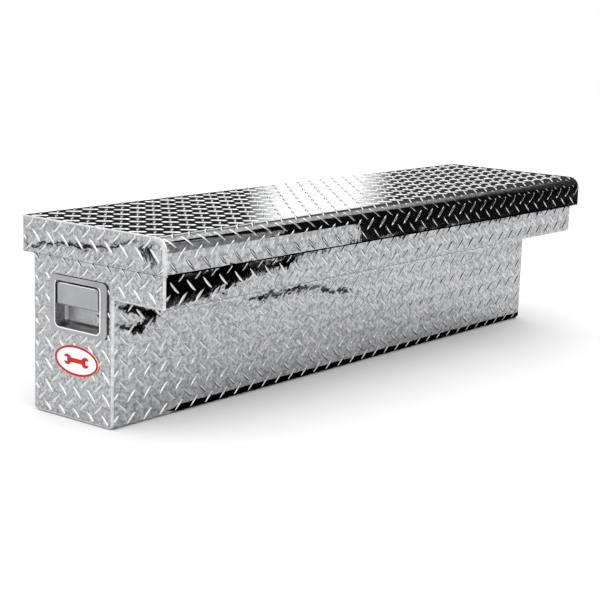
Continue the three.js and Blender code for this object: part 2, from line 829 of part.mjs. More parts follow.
function latchGroup() {
  const group = new THREE.Group();
  group.position.set(-END_X, LATCH_Y, LATCH_Z);
  group.add(
    node("latch_gasket", latchGasket(), RUBBER()),
    node("latch_dish", latchDish(), STAINLESS()),
    node("latch_case", latchCase(), ZINC_STEEL()),
    node("latch_paddle", latchPaddle(), STAINLESS()),
    node("paddle_hook", paddleHook(), ZINC_STEEL()),
    node("paddle_pin", paddlePin(), STAINLESS()),
    node("paddle_spring", paddleSpring(), ZINC_STEEL()),
    node("latch_bolt", latchBolt(), ZINC_STEEL()),
  );
  const lock = new THREE.Group();
  lock.position.set(PAN_FLOOR, LOCK.y, LOCK.z);
  lock.add(
    node("lock_cylinder", lockCylinder(), ZINC_STEEL()),
    node("lock_plug", lockPlug(), BRASS()),
    node("lock_cam", lockCam(), ZINC_STEEL()),
  );
  group.add(lock);
  return group;
}

function strutGroup(side, word) {
  const strut = new THREE.Group();
  strut.position.set(side * STRUT_X, LOWER_PIVOT.y, LOWER_PIVOT.z);
  strut.rotation.x = Math.atan2(LOWER_PIVOT.y - UPPER_PIVOT.y, UPPER_PIVOT.z - LOWER_PIVOT.z);
  strut.add(
    node("strut_cylinder_" + word, strutCylinder(), BLACK_ENAMEL()),
    node("strut_rod_" + word, strutRod(), CHROME_ROD()),
  );
  const group = new THREE.Group();
  group.add(
    strut,
    node("strut_body_bracket_" + word, strutBodyBracket(side), ZINC_STEEL()),
    node("strut_lid_bracket_" + word, strutLidBracket(side), ZINC_STEEL()),
  );
  return group;
}

function badgeGroup() {
  const group = new THREE.Group();
  group.position.set(-END_X, BADGE.y, BADGE.z);
  group.add(
    node("badge_plate", badgePlate(), WHITE_ENAMEL()),
    node("badge_rim", badgeRim(), RED_ENAMEL()),
    node("badge_emblem", badgeEmblem(), RED_ENAMEL()),
  );
  return group;
}

const group = new THREE.Group();
group.add(
  bodyGroup(),
  lidGroup(),
  latchGroup(),
  strutGroup(-1, "left"),
  strutGroup(1, "right"),
  badgeGroup(),
);

export default group;
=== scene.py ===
"""Side-mount truck tool box in aluminium tread plate: the visual model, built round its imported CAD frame."""

import json
import math

import bmesh
import bpy
import numpy as np
from mathutils import Matrix, Vector


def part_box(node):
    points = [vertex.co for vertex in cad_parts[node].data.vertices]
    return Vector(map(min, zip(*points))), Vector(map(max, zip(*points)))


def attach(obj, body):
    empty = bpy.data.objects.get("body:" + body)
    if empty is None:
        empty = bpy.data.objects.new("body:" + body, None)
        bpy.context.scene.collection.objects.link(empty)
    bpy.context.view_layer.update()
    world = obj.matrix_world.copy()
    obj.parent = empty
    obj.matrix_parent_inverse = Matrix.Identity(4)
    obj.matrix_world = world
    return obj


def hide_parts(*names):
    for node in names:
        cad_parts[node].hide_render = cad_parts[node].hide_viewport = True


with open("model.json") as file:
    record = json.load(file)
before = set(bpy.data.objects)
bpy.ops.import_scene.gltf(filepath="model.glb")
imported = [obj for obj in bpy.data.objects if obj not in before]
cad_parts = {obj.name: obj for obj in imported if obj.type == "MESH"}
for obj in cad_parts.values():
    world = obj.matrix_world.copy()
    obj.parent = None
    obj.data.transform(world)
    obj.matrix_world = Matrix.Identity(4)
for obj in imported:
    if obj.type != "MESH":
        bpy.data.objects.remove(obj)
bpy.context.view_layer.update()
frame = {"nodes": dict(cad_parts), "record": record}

# ---- Sizes, in metres ----------------------------------------------------------------------------
MM = 0.001
SHEET = 1.6 * MM
LUG_HEIGHT = 1.0 * MM
LUG_LENGTH = 27.5 * MM
LUG_WIDTH = 5.4 * MM
PITCH = 35.575 * MM
END_PITCH = (31.9 * MM, 34.7 * MM)  # across and up the ends of box and lid
LUG_CLEAR = 1.6 * MM  # from the edge of an end plate's flat to the nearest lug
SHEET_CLEAR = 0.3 * MM  # from a bent sheet's edge to the nearest lug
PRESS = 1.5 * MM  # how far the lugs run in under the latch bezel and the badge
TUB_DEPTH = 177.6 * MM
WING_FACE = 53.2 * MM
RIM_WIDTH = 22 * MM
BEND = 4 * MM
BASE_BEND = 9 * MM
NOSE_RADIUS = 23 * MM
HEM_HEIGHT = 11 * MM
HEM_DEPTH = 4 * MM
CORNER_ROUND = 3.4 * MM
LID_ROUND = 1.8 * MM
SHARP_DEGREES = 35
SIDES = ((-1, "left"), (1, "right"))

LID_LOW, LID_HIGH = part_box("lid_skin")
LID_FRONT, LID_BOTTOM = LID_LOW.y, LID_LOW.z
LID_BACK, LID_TOP = LID_HIGH.y, LID_HIGH.z
LID_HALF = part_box("lid_end_right")[1].x
BODY_LOW, BODY_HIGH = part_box("body_wrap")
BODY_FRONT, BODY_BACK, RIM_TOP = BODY_LOW.y, BODY_HIGH.y, BODY_HIGH.z
BODY_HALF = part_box("end_panel_right")[1].x
TUB_FRONT = BODY_BACK - TUB_DEPTH
WING_BOTTOM = LID_BOTTOM - WING_FACE
LATCH_LOW, LATCH_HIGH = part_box("latch_dish")
BADGE_LOW, BADGE_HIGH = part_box("badge_rim")
LEAF_LOW, LEAF_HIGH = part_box("hinge_body_leaf")


# ---- Paths in (y, z) -----------------------------------------------------------------------------
ARC_STEPS = 16
ARC_SUPPORT = 0.4 * MM  # a point this far before and after each round keeps the flats' shading flat


def rounded_path(corners):
    """Points and left-hand normals of a path through (y, z, radius) corners."""
    points, normals = [], []

    def left(d):
        return np.array([-d[1], d[0]])

    def add(point, normal):
        points.append(point)
        normals.append(normal)

    at = [np.array(c[:2], float) for c in corners]
    for i, c in enumerate(corners):
        if i in (0, len(corners) - 1):
            d = at[1] - at[0] if i == 0 else at[-1] - at[-2]
            add(at[i], left(d / np.linalg.norm(d)))
            continue
        din = (at[i] - at[i - 1]) / np.linalg.norm(at[i] - at[i - 1])
        dout = (at[i + 1] - at[i]) / np.linalg.norm(at[i + 1] - at[i])
        turn = math.atan2(din[0] * dout[1] - din[1] * dout[0], din @ dout)
        side = math.copysign(1, turn)
        reach = c[2] * math.tan(abs(turn) / 2)
        inward = left(din) * side
        centre = at[i] - din * reach + inward * c[2]
        add(at[i] - din * (reach + ARC_SUPPORT), left(din))
        for step in range(ARC_STEPS + 1):
            angle = turn * step / ARC_STEPS
            cos, sin = math.cos(angle), math.sin(angle)
            out = -np.array([inward[0] * cos - inward[1] * sin, inward[0] * sin + inward[1] * cos])
            add(centre + out * c[2], -out * side)
        add(at[i] + dout * (reach + ARC_SUPPORT), left(dout))
    return np.array(points), np.array(normals)


def distances(points):
    return np.concatenate([[0], np.cumsum(np.linalg.norm(np.diff(points, axis=0), axis=1))])


def moved(path, offset):
    """The path moved along its normals, out of the sheet where offset is positive."""
    points, normals = path
    return points + normals * offset, normals


def resampled(path, step):
    points, normals = path
    along = distances(points)
    marks = np.unique(np.concatenate([along, np.arange(0, along[-1], step)]))
    at = np.stack([np.interp(marks, along, points[:, k]) for k in (0, 1)], 1)
    out = np.stack([np.interp(marks, along, normals[:, k]) for k in (0, 1)], 1)
    return at, out / np.linalg.norm(out, axis=1, keepdims=True)


def distance_to(path, y, z):
    """How far along the path its point nearest (y, z) lies."""
    at, _ = resampled(path, 0.25 * MM)
    return distances(at)[np.argmin(np.linalg.norm(at - [y, z], axis=1))]


def clean_loop(points, least=0.05 * MM):
    """The loop without points that lie on the one before."""
    kept = [points[0]]
    for point in points[1:]:
        if np.linalg.norm(point - kept[-1]) > least:
            kept.append(point)
    if np.linalg.norm(kept[0] - kept[-1]) <= least:
        kept.pop()
    return kept


def rounded_rectangle(low, high, radius, steps):
    """A loop of (y, z) points, a quarter turn at a time from the corner at high."""
    points = []
    for k, (y, z) in enumerate(((high[0], high[1]), (low[0], high[1]), (low[0], low[1]), (high[0], low[1]))):
        cy = y - radius if y == high[0] else y + radius
        cz = z - radius if z == high[1] else z + radius
        for step in range(steps + 1):
            angle = (k + step / steps) * math.pi / 2
            points.append((cy + radius * math.cos(angle), cz + radius * math.sin(angle)))
    return points


def lid_path():
    """From the hem inside the front rim, round the nose, over the top and down the back."""
    return rounded_path([
        (LID_FRONT + HEM_DEPTH, LID_BOTTOM + HEM_HEIGHT),
        (LID_FRONT + HEM_DEPTH, LID_BOTTOM, HEM_DEPTH / 2),
        (LID_FRONT, LID_BOTTOM, HEM_DEPTH / 2),
        (LID_FRONT, LID_TOP, NOSE_RADIUS),
        (LID_BACK, LID_TOP, BEND),
        (LID_BACK, LID_BOTTOM),
    ])


def body_path():
    """From the back rim down, under the tub, up its front, along the wing and up to the front rim."""
    return rounded_path([
        (BODY_BACK - RIM_WIDTH, RIM_TOP),
        (BODY_BACK, RIM_TOP, BEND),
        (BODY_BACK, LUG_HEIGHT, BASE_BEND),
        (TUB_FRONT, LUG_HEIGHT, BASE_BEND),
        (TUB_FRONT, WING_BOTTOM, BEND),
        (BODY_FRONT, WING_BOTTOM, BEND),
        (BODY_FRONT, RIM_TOP, BEND),
        (BODY_FRONT + RIM_WIDTH, RIM_TOP),
    ])


# ---- Meshes --------------------------------------------------------------------------------------
OUTSIDE, LUG, INSIDE = 0, 1, 2  # material numbers: a sheet's outer face, its lugs and its inner face


class Shape:
    """Vertices and faces gathered from closed pieces, each face with a material number."""

    def __init__(self):
        self.vertices = []
        self.faces = []
        self.finish = []

    def add(self, vertices, faces, finish=OUTSIDE):
        """finish is one material number for every face, or a list with a number for each."""
        start = len(self.vertices)
        self.vertices.extend(map(tuple, vertices))
        self.faces.extend(tuple(start + int(i) for i in face) for face in faces)
        self.finish.extend(finish if isinstance(finish, list) else [finish] * len(faces))

    def make(self, name, body, slot, materials, replaces=()):
        """Turns what was gathered into a piece that rides the body."""
        mesh = bpy.data.meshes.new(name)
        mesh.from_pydata(self.vertices, [], self.faces)
        for material in materials:
            mesh.materials.append(material)
        mesh.polygons.foreach_set("material_index", self.finish)
        work = bmesh.new()
        work.from_mesh(mesh)
        bmesh.ops.recalc_face_normals(work, faces=work.faces)
        work.to_mesh(mesh)
        work.free()
        mesh.polygons.foreach_set("use_smooth", [True] * len(mesh.polygons))
        mesh.set_sharp_from_angle(angle=math.radians(SHARP_DEGREES))
        made = bpy.data.objects.new(name, mesh)
        bpy.context.scene.collection.objects.link(made)
        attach(made, body)
        if replaces:
            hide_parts(*replaces)


def sheet(shape, path, inset, thickness, half):
    """A bent sheet from x = -half to half: its outer face lies inset inside the path."""
    outer, _ = moved(path, -inset)
    inner, _ = moved(path, -inset - thickness)
    ring = np.concatenate([outer, inner[::-1]])
    count, last = len(ring), len(outer) - 1
    ends = [np.column_stack([np.full(count, x), ring]) for x in (-half, half)]
    faces = []
    for i in range(count):
        j = (i + 1) % count
        faces.append((i, j, count + j, count + i))
    finish = [INSIDE if last < i < count - 1 else OUTSIDE for i in range(count)]
    finish += [OUTSIDE] * (2 * last)
    for i in range(last):
        rim = (i, i + 1, count - 2 - i, count - 1 - i)
        faces.append(rim)
        faces.append(tuple(count + k for k in rim))
    shape.add(np.concatenate(ends), faces, finish)


def plate(shape, outline, x_face, x_back, hole=None):
    """A flat plate between two x, with its outline and one hole given as (y, z) points."""
    work = bmesh.new()
    loops = [outline] + ([hole] if hole is not None else [])
    edges, rims = [], []
    for loop in loops:
        ring = [work.verts.new((0, y, z)) for y, z in loop]
        rims.append(ring)
        edges += [work.edges.new((a, b)) for a, b in zip(ring, ring[1:] + ring[:1])]
    bmesh.ops.triangle_fill(work, use_beauty=True, use_dissolve=False, edges=edges)
    work.verts.index_update()
    flat = [v.co.copy() for v in work.verts]
    count = len(flat)
    vertices = [(x, v.y, v.z) for x in (x_face, x_back) for v in flat]
    faces, finish = [], []
    for face in work.faces:
        faces.append([v.index for v in face.verts])
        faces.append([v.index + count for v in reversed(face.verts)])
        finish += [OUTSIDE, INSIDE]
    for ring in rims:
        for a, b in zip(ring, ring[1:] + ring[:1]):
            faces.append((a.index, b.index, b.index + count, a.index + count))
            finish.append(OUTSIDE)
    work.free()
    shape.add(vertices, faces, finish)


RIPPLE = 0.09 * MM
LAP_RISE = 0.2 * MM


def ground_corner(shape, path, x_face, inset, radius, seed, lap=None):
    """The welded and ground round between a sheet's edge and an end plate, rippled a little by the grinder.

    lap(y) is the width of the ground band that runs on over the end plate, where there is one.
    """
    side = math.copysign(1, x_face)
    points, normals = resampled(path, 4 * MM)
    rng = np.random.default_rng(seed)
    ripple = np.convolve(rng.normal(0, RIPPLE, len(points) + 4), np.ones(5) / 5, "valid")
    arc = np.linspace(0, math.pi / 2, 9)
    section = [(radius * math.sin(a) - radius, radius * math.cos(a) - radius) for a in arc]
    if lap:
        section += [(LAP_RISE, -radius - 0.3 * MM), (LAP_RISE, -radius), (0, -radius - LAP_RISE)]
    section.append((-radius, -radius))
    count = len(section)
    vertices = []
    for (y, z), (ny, nz), wave in zip(points, normals, ripple):
        for k, (out_x, out_n) in enumerate(section):
            depth = out_n - inset - (abs(wave) if 0 < k < len(arc) - 1 else 0)
            if lap and count - 4 < k < count - 1:
                depth -= lap(y)
            vertices.append((x_face + side * out_x, y + ny * depth, z + nz * depth))
    faces = []
    for i in range(len(points) - 1):
        for k in range(count):
            a, b = i * count + k, i * count + (k + 1) % count
            faces.append((a, b, b + count, a + count))
    faces.append(tuple(range(count)))
    faces.append(tuple((len(points) - 1) * count + k for k in range(count)))
    shape.add(vertices, faces)


def pattern(s_range, t_range, origin, pitch):
    """Centres and slants of the tread: rows lean to and fro, half a pitch apart.

    One of the lugs that lean forward lies at origin.
    """
    centres, slants = [], []
    for row in range(math.floor((t_range[0] - origin[1]) / pitch[1] * 2) - 1,
                     math.ceil((t_range[1] - origin[1]) / pitch[1] * 2) + 2):
        odd = row % 2
        first = origin[0] + odd * pitch[0] / 2
        start = math.floor((s_range[0] - first) / pitch[0]) - 1
        stop = math.ceil((s_range[1] - first) / pitch[0]) + 2
        for i in range(start, stop):
            centres.append((first + i * pitch[0], origin[1] + row * pitch[1] / 2))
            slants.append(-1 if odd else 1)
    return np.array(centres), np.array(slants, float)


# A lug's grid: stations along it, places across it, and the height at each of those places.
STATIONS = np.array([0.03, 0.12, 0.24, 0.37, 0.5, 0.63, 0.76, 0.88, 0.97])
ACROSS = np.array([-1, -0.62, 0, 0.62, 1])
CROWN = np.array([-0.12, 0.72, 1.0, 0.72, -0.12])
SHORTEST = 9  # a lug that is cut off keeps at least this many of its 45 samples, or is left out


def lugs(shape, centres, slants, place, inside, seed):
    """Raised lens-shaped lugs, each a closed island that sinks a little into the sheet.

    place(s, t, h) gives points in space, and inside(s, t) says where the sheet carries lugs.
    """
    rng = np.random.default_rng(seed)
    reach = np.linspace(-0.5, 0.5, 45) * LUG_LENGTH
    diagonal = math.sqrt(0.5)
    s = centres[:, :1] + reach * diagonal
    t = centres[:, 1:] + reach * diagonal * slants[:, None]
    allowed = inside(s, t)
    spans = []
    for i, row in enumerate(allowed):
        edges = np.flatnonzero(np.diff(np.concatenate([[0], row.astype(int), [0]])))
        runs = edges.reshape(-1, 2)
        if not len(runs):
            continue
        a, b = max(runs, key=lambda run: run[1] - run[0])
        if b - a >= SHORTEST:
            spans.append((i, reach[a], reach[b - 1]))
    index = np.array([span[0] for span in spans])
    low = np.array([span[1] for span in spans])[:, None]
    high = np.array([span[2] for span in spans])[:, None]
    count, rows, cols = len(index), len(STATIONS), len(ACROSS)
    u = low + (high - low) * STATIONS
    lens = np.clip(1 - np.abs(2 * u / LUG_LENGTH) ** 2.1, 0.02, 1)
    size = rng.uniform(0.93, 1.05, (count, 1))
    half = LUG_WIDTH / 2 * size * lens ** 0.8
    rise = LUG_HEIGHT * np.clip(lens * 2.2, 0.15, 1) ** 0.6 * np.minimum(size, 1)
    v = half[:, :, None] * ACROSS
    h = np.where(CROWN > 0, rise[:, :, None] * CROWN, LUG_HEIGHT * CROWN)
    centre = centres[index]
    slant = slants[index][:, None, None]
    u = u[:, :, None]
    grid_s = centre[:, 0, None, None] + (u - v * slant) * diagonal
    grid_t = centre[:, 1, None, None] + (u * slant + v) * diagonal
    tips = np.concatenate([low, high], 1)
    tip_s = centre[:, :1] + tips * diagonal
    tip_t = centre[:, 1:] + tips * diagonal * slants[index][:, None]
    sunk = np.full_like(tip_s, LUG_HEIGHT * CROWN[0])
    all_s = np.concatenate([grid_s.reshape(count, -1), tip_s], 1)
    all_t = np.concatenate([grid_t.reshape(count, -1), tip_t], 1)
    all_h = np.concatenate([h.reshape(count, -1), sunk], 1)
    vertices = place(all_s.ravel(), all_t.ravel(), all_h.ravel())
    first, second = rows * cols, rows * cols + 1
    faces = []
    for r in range(rows - 1):
        for c in range(cols - 1):
            a = r * cols + c
            faces.append((a, a + 1, a + cols + 1, a + cols))
        a, b = r * cols, r * cols + cols - 1
        faces.append((a, a + cols, b + cols, b))
    last = (rows - 1) * cols
    for c in range(cols - 1):
        faces.append((first, c + 1, c))
        faces.append((second, last + c, last + c + 1))
    faces.append((first, 0, cols - 1))
    faces.append((second, last + cols - 1, last))
    size = rows * cols + 2
    every = [tuple(k * size + i for i in face) for k in range(count) for face in faces]
    shape.add(vertices, every, LUG)


def on_sheet(path, half):
    """place() for a bent sheet: s runs along x and t along the path."""
    points, normals = path
    along = distances(points)

    def place(s, t, h):
        y, z, ny, nz = (np.interp(t, along, column) for column in (*points.T, *normals.T))
        size = np.hypot(ny, nz)
        x = np.clip(s, -half, half)
        return np.column_stack([x, y + ny / size * h, z + nz / size * h])

    return place


def dome(shape, centre, radius, height):
    """A rivet head on a wall that faces +y."""
    rings, sides = 5, 14
    vertices = []
    for ring in range(rings):
        angle = ring / rings * math.pi / 2
        for k in range(sides):
            turn = 2 * math.pi * k / sides
            r = radius * math.cos(angle)
            vertices.append((
                centre[0] + r * math.cos(turn),
                centre[1] + height * math.sin(angle),
                centre[2] + r * math.sin(turn),
            ))
    vertices.append((centre[0], centre[1] + height, centre[2]))
    top = len(vertices) - 1
    faces = [tuple(range(sides))]
    for ring in range(rings - 1):
        for k in range(sides):
            a, b = ring * sides + k, ring * sides + (k + 1) % sides
            faces.append((a, b, b + sides, a + sides))
    last = (rings - 1) * sides
    faces += [(last + k, last + (k + 1) % sides, top) for k in range(sides)]
    shape.add(vertices, faces)


def tube(shape, points, radius, sides=10):
    """A closed round bar along points in a plane of constant x."""
    at = [np.array(p) for p in points]
    x_axis = np.array((1.0, 0.0, 0.0))
    vertices = []
    for i, here in enumerate(at):
        before, after = at[max(i - 1, 0)], at[min(i + 1, len(at) - 1)]
        along = (after - before) / np.linalg.norm(after - before)
        across = np.cross(along, x_axis)
        for k in range(sides):
            angle = 2 * math.pi * k / sides
            vertices.append(here + radius * (math.cos(angle) * across + math.sin(angle) * x_axis))
    faces = [tuple(range(sides)), tuple(len(vertices) - sides + k for k in range(sides))]
    for i in range(len(at) - 1):
        for k in range(sides):
            a, b = i * sides + k, i * sides + (k + 1) % sides
            faces.append((a, b, b + sides, a + sides))
    shape.add(vertices, faces)


# ---- Materials -----------------------------------------------------------------------------------
class Finish:
    """A node material on object coordinates, with short calls for its textures."""

    def __init__(self, name, colour, metallic, roughness):
        self.material = bpy.data.materials.new(name)
        self.material.use_nodes = True
        tree = self.material.node_tree
        self.nodes, self.links = tree.nodes, tree.links
        self.shader = self.nodes["Principled BSDF"]
        self.shader.inputs["Metallic"].default_value = metallic
        self.shader.inputs["Base Color"].default_value = (*colour, 1)
        self.shader.inputs["Roughness"].default_value = roughness
        self.coords = self.nodes.new("ShaderNodeTexCoord").outputs["Object"]

    def noise(self, scale, stretch=(1, 1, 1), detail=3.0, roughness=0.5):
        mapping = self.nodes.new("ShaderNodeMapping")
        mapping.inputs["Scale"].default_value = stretch
        self.links.new(self.coords, mapping.inputs["Vector"])
        texture = self.nodes.new("ShaderNodeTexNoise")
        texture.inputs["Scale"].default_value = scale
        texture.inputs["Detail"].default_value = detail
        texture.inputs["Roughness"].default_value = roughness
        self.links.new(mapping.outputs["Vector"], texture.inputs["Vector"])
        return texture.outputs["Fac"]

    def spread(self, value, low, high):
        """The texture's value turned into a number from low to high."""
        span = self.nodes.new("ShaderNodeMapRange")
        for name, number in (("From Min", 0.3), ("From Max", 0.7), ("To Min", low), ("To Max", high)):
            span.inputs[name].default_value = number
        self.links.new(value, span.inputs["Value"])
        return span.outputs["Result"]

    def colours(self, value, low, high, start=0.3, stop=0.7):
        ramp = self.nodes.new("ShaderNodeValToRGB")
        ramp.color_ramp.elements[0].position = start
        ramp.color_ramp.elements[1].position = stop
        ramp.color_ramp.elements[0].color = (*low, 1)
        ramp.color_ramp.elements[1].color = (*high, 1)
        self.links.new(value, ramp.inputs["Fac"])
        self.links.new(ramp.outputs["Color"], self.shader.inputs["Base Color"])

    def rough(self, value, low, high):
        self.links.new(self.spread(value, low, high), self.shader.inputs["Roughness"])

    def bump(self, *layers):
        """Layers of (height, depth in metres), each laid on the one before."""
        normal = None
        for value, depth in layers:
            node = self.nodes.new("ShaderNodeBump")
            node.inputs["Strength"].default_value = 1.0
            node.inputs["Distance"].default_value = depth
            self.links.new(value, node.inputs["Height"])
            if normal is not None:
                self.links.new(normal, node.inputs["Normal"])
            normal = node.outputs["Normal"]
        self.links.new(normal, self.shader.inputs["Normal"])


def tread_base():
    f = Finish("tread_base", (0.42, 0.423, 0.43), 1, 0.1)
    mottle = f.noise(170, detail=6, roughness=0.75)
    f.colours(mottle, (0.20, 0.203, 0.21), (0.58, 0.583, 0.592), 0.38, 0.62)
    f.rough(f.noise(45, stretch=(0.3, 1, 1), detail=4), 0.02, 0.07)
    waves = f.noise(7, detail=2)
    dents = f.noise(55, detail=2)
    f.bump((waves, 1.6 * MM), (dents, 0.14 * MM))
    return f.material


def tread_lug():
    f = Finish("tread_lug", (0.66, 0.665, 0.675), 1, 0.14)
    f.colours(f.noise(120, detail=3), (0.56, 0.563, 0.57), (0.76, 0.763, 0.77))
    f.rough(f.noise(160, detail=3), 0.10, 0.22)
    f.bump((f.noise(180, detail=2), 0.04 * MM))
    return f.material


def ground_weld():
    f = Finish("ground_weld", (0.6, 0.603, 0.61), 1, 0.3)
    f.colours(f.noise(90, detail=4), (0.48, 0.483, 0.49), (0.72, 0.722, 0.73))
    f.rough(f.noise(140, detail=3), 0.24, 0.42)
    f.bump((f.noise(120, detail=3), 0.12 * MM), (f.noise(900, stretch=(1, 1, 0.2), detail=2), 0.02 * MM))
    return f.material


def plain_aluminium():
    f = Finish("plain_aluminium", (0.66, 0.665, 0.675), 1, 0.38)
    f.colours(f.noise(30, stretch=(0.1, 1, 1), detail=4), (0.6, 0.605, 0.615), (0.74, 0.745, 0.755))
    f.rough(f.noise(80, stretch=(0.05, 1, 1)), 0.3, 0.46)
    f.bump((f.noise(500, stretch=(0.02, 1, 1)), 0.02 * MM))
    return f.material


def brushed_stainless():
    f = Finish("brushed_stainless", (0.36, 0.362, 0.368), 1, 0.3)
    f.colours(f.noise(25, detail=3), (0.32, 0.322, 0.328), (0.41, 0.412, 0.418))
    grain = f.noise(420, stretch=(1, 0.03, 1), detail=3)
    f.rough(grain, 0.24, 0.40)
    f.bump((grain, 0.025 * MM))
    return f.material


def zinc_steel():
    f = Finish("zinc_steel", (0.6, 0.62, 0.63), 1, 0.36)
    f.colours(f.noise(60, detail=4), (0.52, 0.54, 0.55), (0.70, 0.71, 0.70))
    f.rough(f.noise(140, detail=3), 0.28, 0.46)
    f.bump((f.noise(300, detail=2), 0.03 * MM))
    return f.material


def chrome_rod():
    f = Finish("chrome_rod", (0.85, 0.86, 0.88), 1, 0.07)
    f.colours(f.noise(40), (0.82, 0.83, 0.85), (0.88, 0.89, 0.91))
    f.rough(f.noise(300, stretch=(1, 1, 0.1)), 0.05, 0.11)
    return f.material


def black_enamel():
    f = Finish("black_enamel", (0.02, 0.02, 0.022), 0, 0.3)
    f.colours(f.noise(90, detail=4), (0.014, 0.014, 0.016), (0.03, 0.03, 0.033))
    f.rough(f.noise(220, detail=3), 0.24, 0.4)
    f.bump((f.noise(700, detail=2), 0.02 * MM))
    return f.material


# Painted highlight: the rolled edges are real, but this near-white colour, far above the stainless bezel's,
# makes them show as white highlight lines.
def highlight_edge():
    f = Finish("highlight_edge", (0.9, 0.9, 0.91), 1, 0.16)
    f.colours(f.noise(60, detail=3), (0.86, 0.86, 0.87), (0.94, 0.94, 0.95))
    f.rough(f.noise(200, detail=2), 0.12, 0.22)
    return f.material


def lock_metal():
    f = Finish("lock_metal", (0.42, 0.42, 0.41), 1, 0.2)
    f.colours(f.noise(200, detail=3), (0.36, 0.36, 0.35), (0.50, 0.50, 0.49))
    f.rough(f.noise(500, detail=2), 0.16, 0.3)
    return f.material


def seal_rubber():
    f = Finish("seal_rubber", (0.025, 0.025, 0.027), 0, 0.8)
    f.colours(f.noise(150, detail=4), (0.018, 0.018, 0.02), (0.04, 0.04, 0.042))
    f.rough(f.noise(200, detail=3), 0.7, 0.92)
    f.bump((f.noise(900, detail=3), 0.08 * MM))
    return f.material


def badge_enamel(name, low, high):
    f = Finish(name, high, 0, 0.22)
    f.colours(f.noise(80, detail=3), low, high)
    f.rough(f.noise(240, detail=2), 0.16, 0.3)
    f.shader.inputs["Specular IOR Level"].default_value = 0.2
    f.bump((f.noise(160, detail=2), 0.03 * MM))
    return f.material


TREAD = [tread_base(), tread_lug(), plain_aluminium()]  # in the order of OUTSIDE, LUG and INSIDE
GROUND = ground_weld()
SLOT_MATERIALS = {
    "tread_plate": TREAD[OUTSIDE],
    "plain_aluminium": TREAD[INSIDE],
    "stainless": brushed_stainless(),
    "zinc_steel": zinc_steel(),
    "chrome_rod": chrome_rod(),
    "black_enamel": black_enamel(),
    "lock_metal": lock_metal(),
    "seal_rubber": seal_rubber(),
    "badge_white": badge_enamel("badge_white", (0.86, 0.86, 0.85), (0.93, 0.93, 0.92)),
    "badge_red": badge_enamel("badge_red", (0.40, 0.004, 0.007), (0.50, 0.008, 0.012)),
}


def smooth_rounds():
    """A node group that shades a CAD solid smooth, apart from its sharp edges."""
    tree = bpy.data.node_groups.new("smooth_rounds", "GeometryNodeTree")
    tree.interface.new_socket("Geometry", in_out="INPUT", socket_type="NodeSocketGeometry")
    tree.interface.new_socket("Geometry", in_out="OUTPUT", socket_type="NodeSocketGeometry")
    source = tree.nodes.new("NodeGroupInput")
    result = tree.nodes.new("NodeGroupOutput")
    faces = tree.nodes.new("GeometryNodeSetShadeSmooth")
    faces.domain = "FACE"
    edges = tree.nodes.new("GeometryNodeSetShadeSmooth")
    edges.domain = "EDGE"
    edges.inputs["Shade Smooth"].default_value = False
    angle = tree.nodes.new("GeometryNodeInputMeshEdgeAngle")
    sharp = tree.nodes.new("FunctionNodeCompare")
    sharp.data_type = "FLOAT"
    sharp.operation = "GREATER_THAN"
    sharp.inputs[1].default_value = math.radians(SHARP_DEGREES)
    tree.links.new(angle.outputs["Unsigned Angle"], sharp.inputs[0])
    tree.links.new(sharp.outputs["Result"], edges.inputs["Selection"])
    tree.links.new(source.outputs[0], faces.inputs["Geometry"])
    tree.links.new(faces.outputs["Geometry"], edges.inputs["Geometry"])
    tree.links.new(edges.outputs["Geometry"], result.inputs[0])
    return tree


def dress_cad_nodes():
    """Every CAD node takes its record slot's material, and smooth rounds."""
    rounds = smooth_rounds()
    for part in frame["record"]["subparts"]:
        node = frame["nodes"][part["node"]]
        node.data.materials.clear()
        node.data.materials.append(SLOT_MATERIALS[part["material_slot"]])
        modifier = node.modifiers.new("smooth_rounds", "NODES")
        modifier.node_group = rounds


# ---- Lid -----------------------------------------------------------------------------------------
LID_PHASE = 0.781  # one lug on the lid's front lies this many pitches right of the middle
LID_ROW = 26.6 * MM  # and this far below the lid's top
LID_FOOT, LID_TAIL = 2.2 * MM, 1 * MM  # the lugs stop this far above the bottom edge, front and back
LID_END_LUG = (-4.0 * MM, 283.6 * MM)  # y and z of a lug on each end
LID_END_LAP = 0.6 * MM  # an end plate reaches this much further in than one sheet's thickness
BAND_RUN = (20 * MM, 45 * MM)  # the ground band narrows between these distances behind the front
BAND_WIDTH = (7.0 * MM, 0.8 * MM)
BAND_CLEAR = 5 * MM
LID_SEED, LID_END_SEED, LID_BEAD_SEED = 11, 21, 31


def end_origin(lug, side):
    """The pattern's origin on an end plate, half a pitch across and down from the given lug."""
    return side * lug[0] + END_PITCH[0] / 2, lug[1] - END_PITCH[1] / 2


def build_lid():
    path = lid_path()
    base = moved(path, -LUG_HEIGHT)
    half = LID_HALF - LUG_HEIGHT - LID_ROUND
    along = distances(base[0])
    low = distance_to(base, LID_FRONT + LUG_HEIGHT, LID_BOTTOM + LID_FOOT)
    row = distance_to(base, LID_FRONT + LUG_HEIGHT, LID_TOP - LID_ROW)
    shape = Shape()
    sheet(shape, path, LUG_HEIGHT, SHEET - LUG_HEIGHT, half)

    def inside(s, t):
        return (np.abs(s) < half - SHEET_CLEAR) & (t > low) & (t < along[-1] - LID_TAIL)

    centres, slants = pattern((-half, half), (low, along[-1]), (LID_PHASE * PITCH, row), (PITCH, PITCH))
    lugs(shape, centres, slants, on_sheet(base, half), inside, LID_SEED)
    shape.make("lid_sheet", "lid", "tread_plate", TREAD, ["lid_skin"])

    rim = rounded_path([
        (LID_FRONT, LID_BOTTOM),
        (LID_FRONT, LID_TOP, NOSE_RADIUS),
        (LID_BACK, LID_TOP, BEND),
        (LID_BACK, LID_BOTTOM),
    ])
    for side, word in SIDES:
        build_lid_end(rim, side, word)


